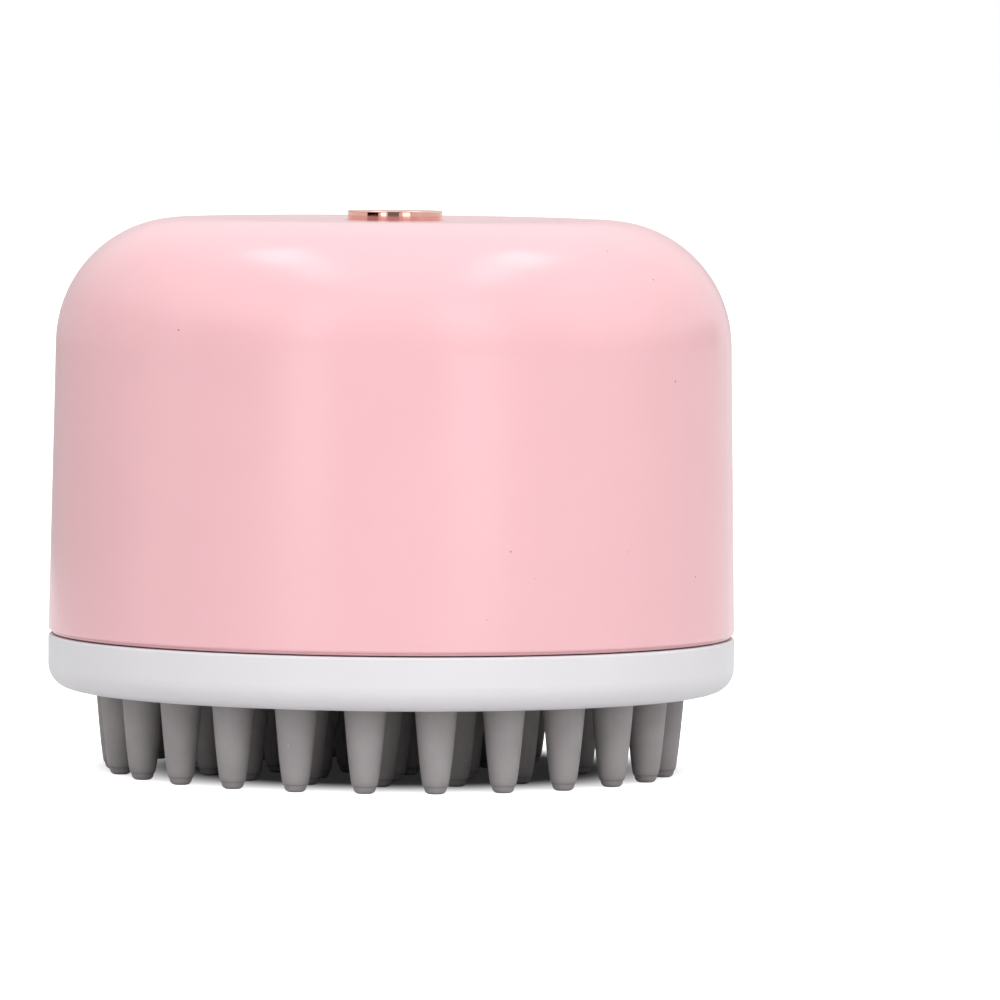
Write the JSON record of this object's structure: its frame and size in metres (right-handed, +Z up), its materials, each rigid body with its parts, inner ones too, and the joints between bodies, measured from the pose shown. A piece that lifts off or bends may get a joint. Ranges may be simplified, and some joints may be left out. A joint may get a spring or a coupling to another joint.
{
  "type": "pet massage brush",
  "caption": "Palm-held vibrating pet massage brush: domed shell with a top button, push-on head with tapered silicone fingers, and a charging socket.",
  "frame": {"origin": "on the floor under the brush's axis, in the plane of the finger tips", "axes": "+Z up through the button, -Y to the front, +Y through the charging socket"},
  "size_m": [0.092, 0.092, 0.0753],
  "materials": {
    "shell_pink": "gloss",
    "head_white": "satin",
    "silicone_grey": "matte",
    "rose_gold": "polished",
    "seal_rubber": "matte",
    "screw_steel": "satin",
    "motor_steel": "satin",
    "magnet_grey": "matte",
    "bush_bronze": "satin",
    "contact_brass": "satin",
    "chassis_plastic": "matte",
    "black_plastic": "matte",
    "board_green": "satin",
    "cell_wrap": "satin",
    "foam_black": "matte",
    "lead_red": "satin",
    "lead_black": "satin",
    "socket_steel": "satin",
    "lamp_clear": "gloss"
  },
  "bodies": {
    "brush_head": {"head_ring": "head_white", "silicone_pad": "silicone_grey", "pad_plate": "head_white", "head_grip_ring": "seal_rubber"},
    "housing": {"top_shell": "shell_pink", "bottom_cover": "head_white", "cover_seal": "seal_rubber", "cover_screws": "screw_steel", "chassis": "chassis_plastic", "chassis_screws": "screw_steel", "motor_can": "motor_steel", "motor_end_cap": "black_plastic", "motor_bushes": "bush_bronze", "motor_terminals": "contact_brass", "motor_magnets": "magnet_grey", "motor_strap": "motor_steel", "strap_screws": "screw_steel", "motor_lead_red": "lead_red", "motor_lead_black": "lead_black", "battery_cell": "cell_wrap", "battery_foam": "foam_black", "battery_tabs": "contact_brass", "battery_lead_red": "lead_red", "battery_lead_black": "lead_black", "main_board": "board_green", "board_screws": "screw_steel", "board_chips": "black_plastic", "tact_switch": "black_plastic", "usb_shell": "socket_steel", "usb_tongue": "black_plastic", "charge_lamp": "lamp_clear", "charge_light_pipe": "lamp_clear"},
    "power_button": {"button_cap": "rose_gold", "button_seal_ring": "seal_rubber", "button_clip": "screw_steel", "switch_plunger": "black_plastic"},
    "rotor": {"motor_shaft": "motor_steel", "motor_armature": "motor_steel", "eccentric_weight": "motor_steel"}
  },
  "joints": [
    {"name": "button_press", "type": "slide", "parent": "housing", "child": "power_button", "axis": [0, 0, -1], "range_m": [0, 0.0005], "stiffness_N_per_m": 2500},
    {"name": "rotor_spin", "type": "hinge", "parent": "housing", "child": "rotor", "pos_m": [0, -0.00713, 0.038], "axis": [1, 0, 0], "continuous": true},
    {"name": "head_release", "type": "slide", "parent": "brush_head", "child": "housing", "axis": [0, 0, 1], "range_m": [0, 0.02]}
  ]
}
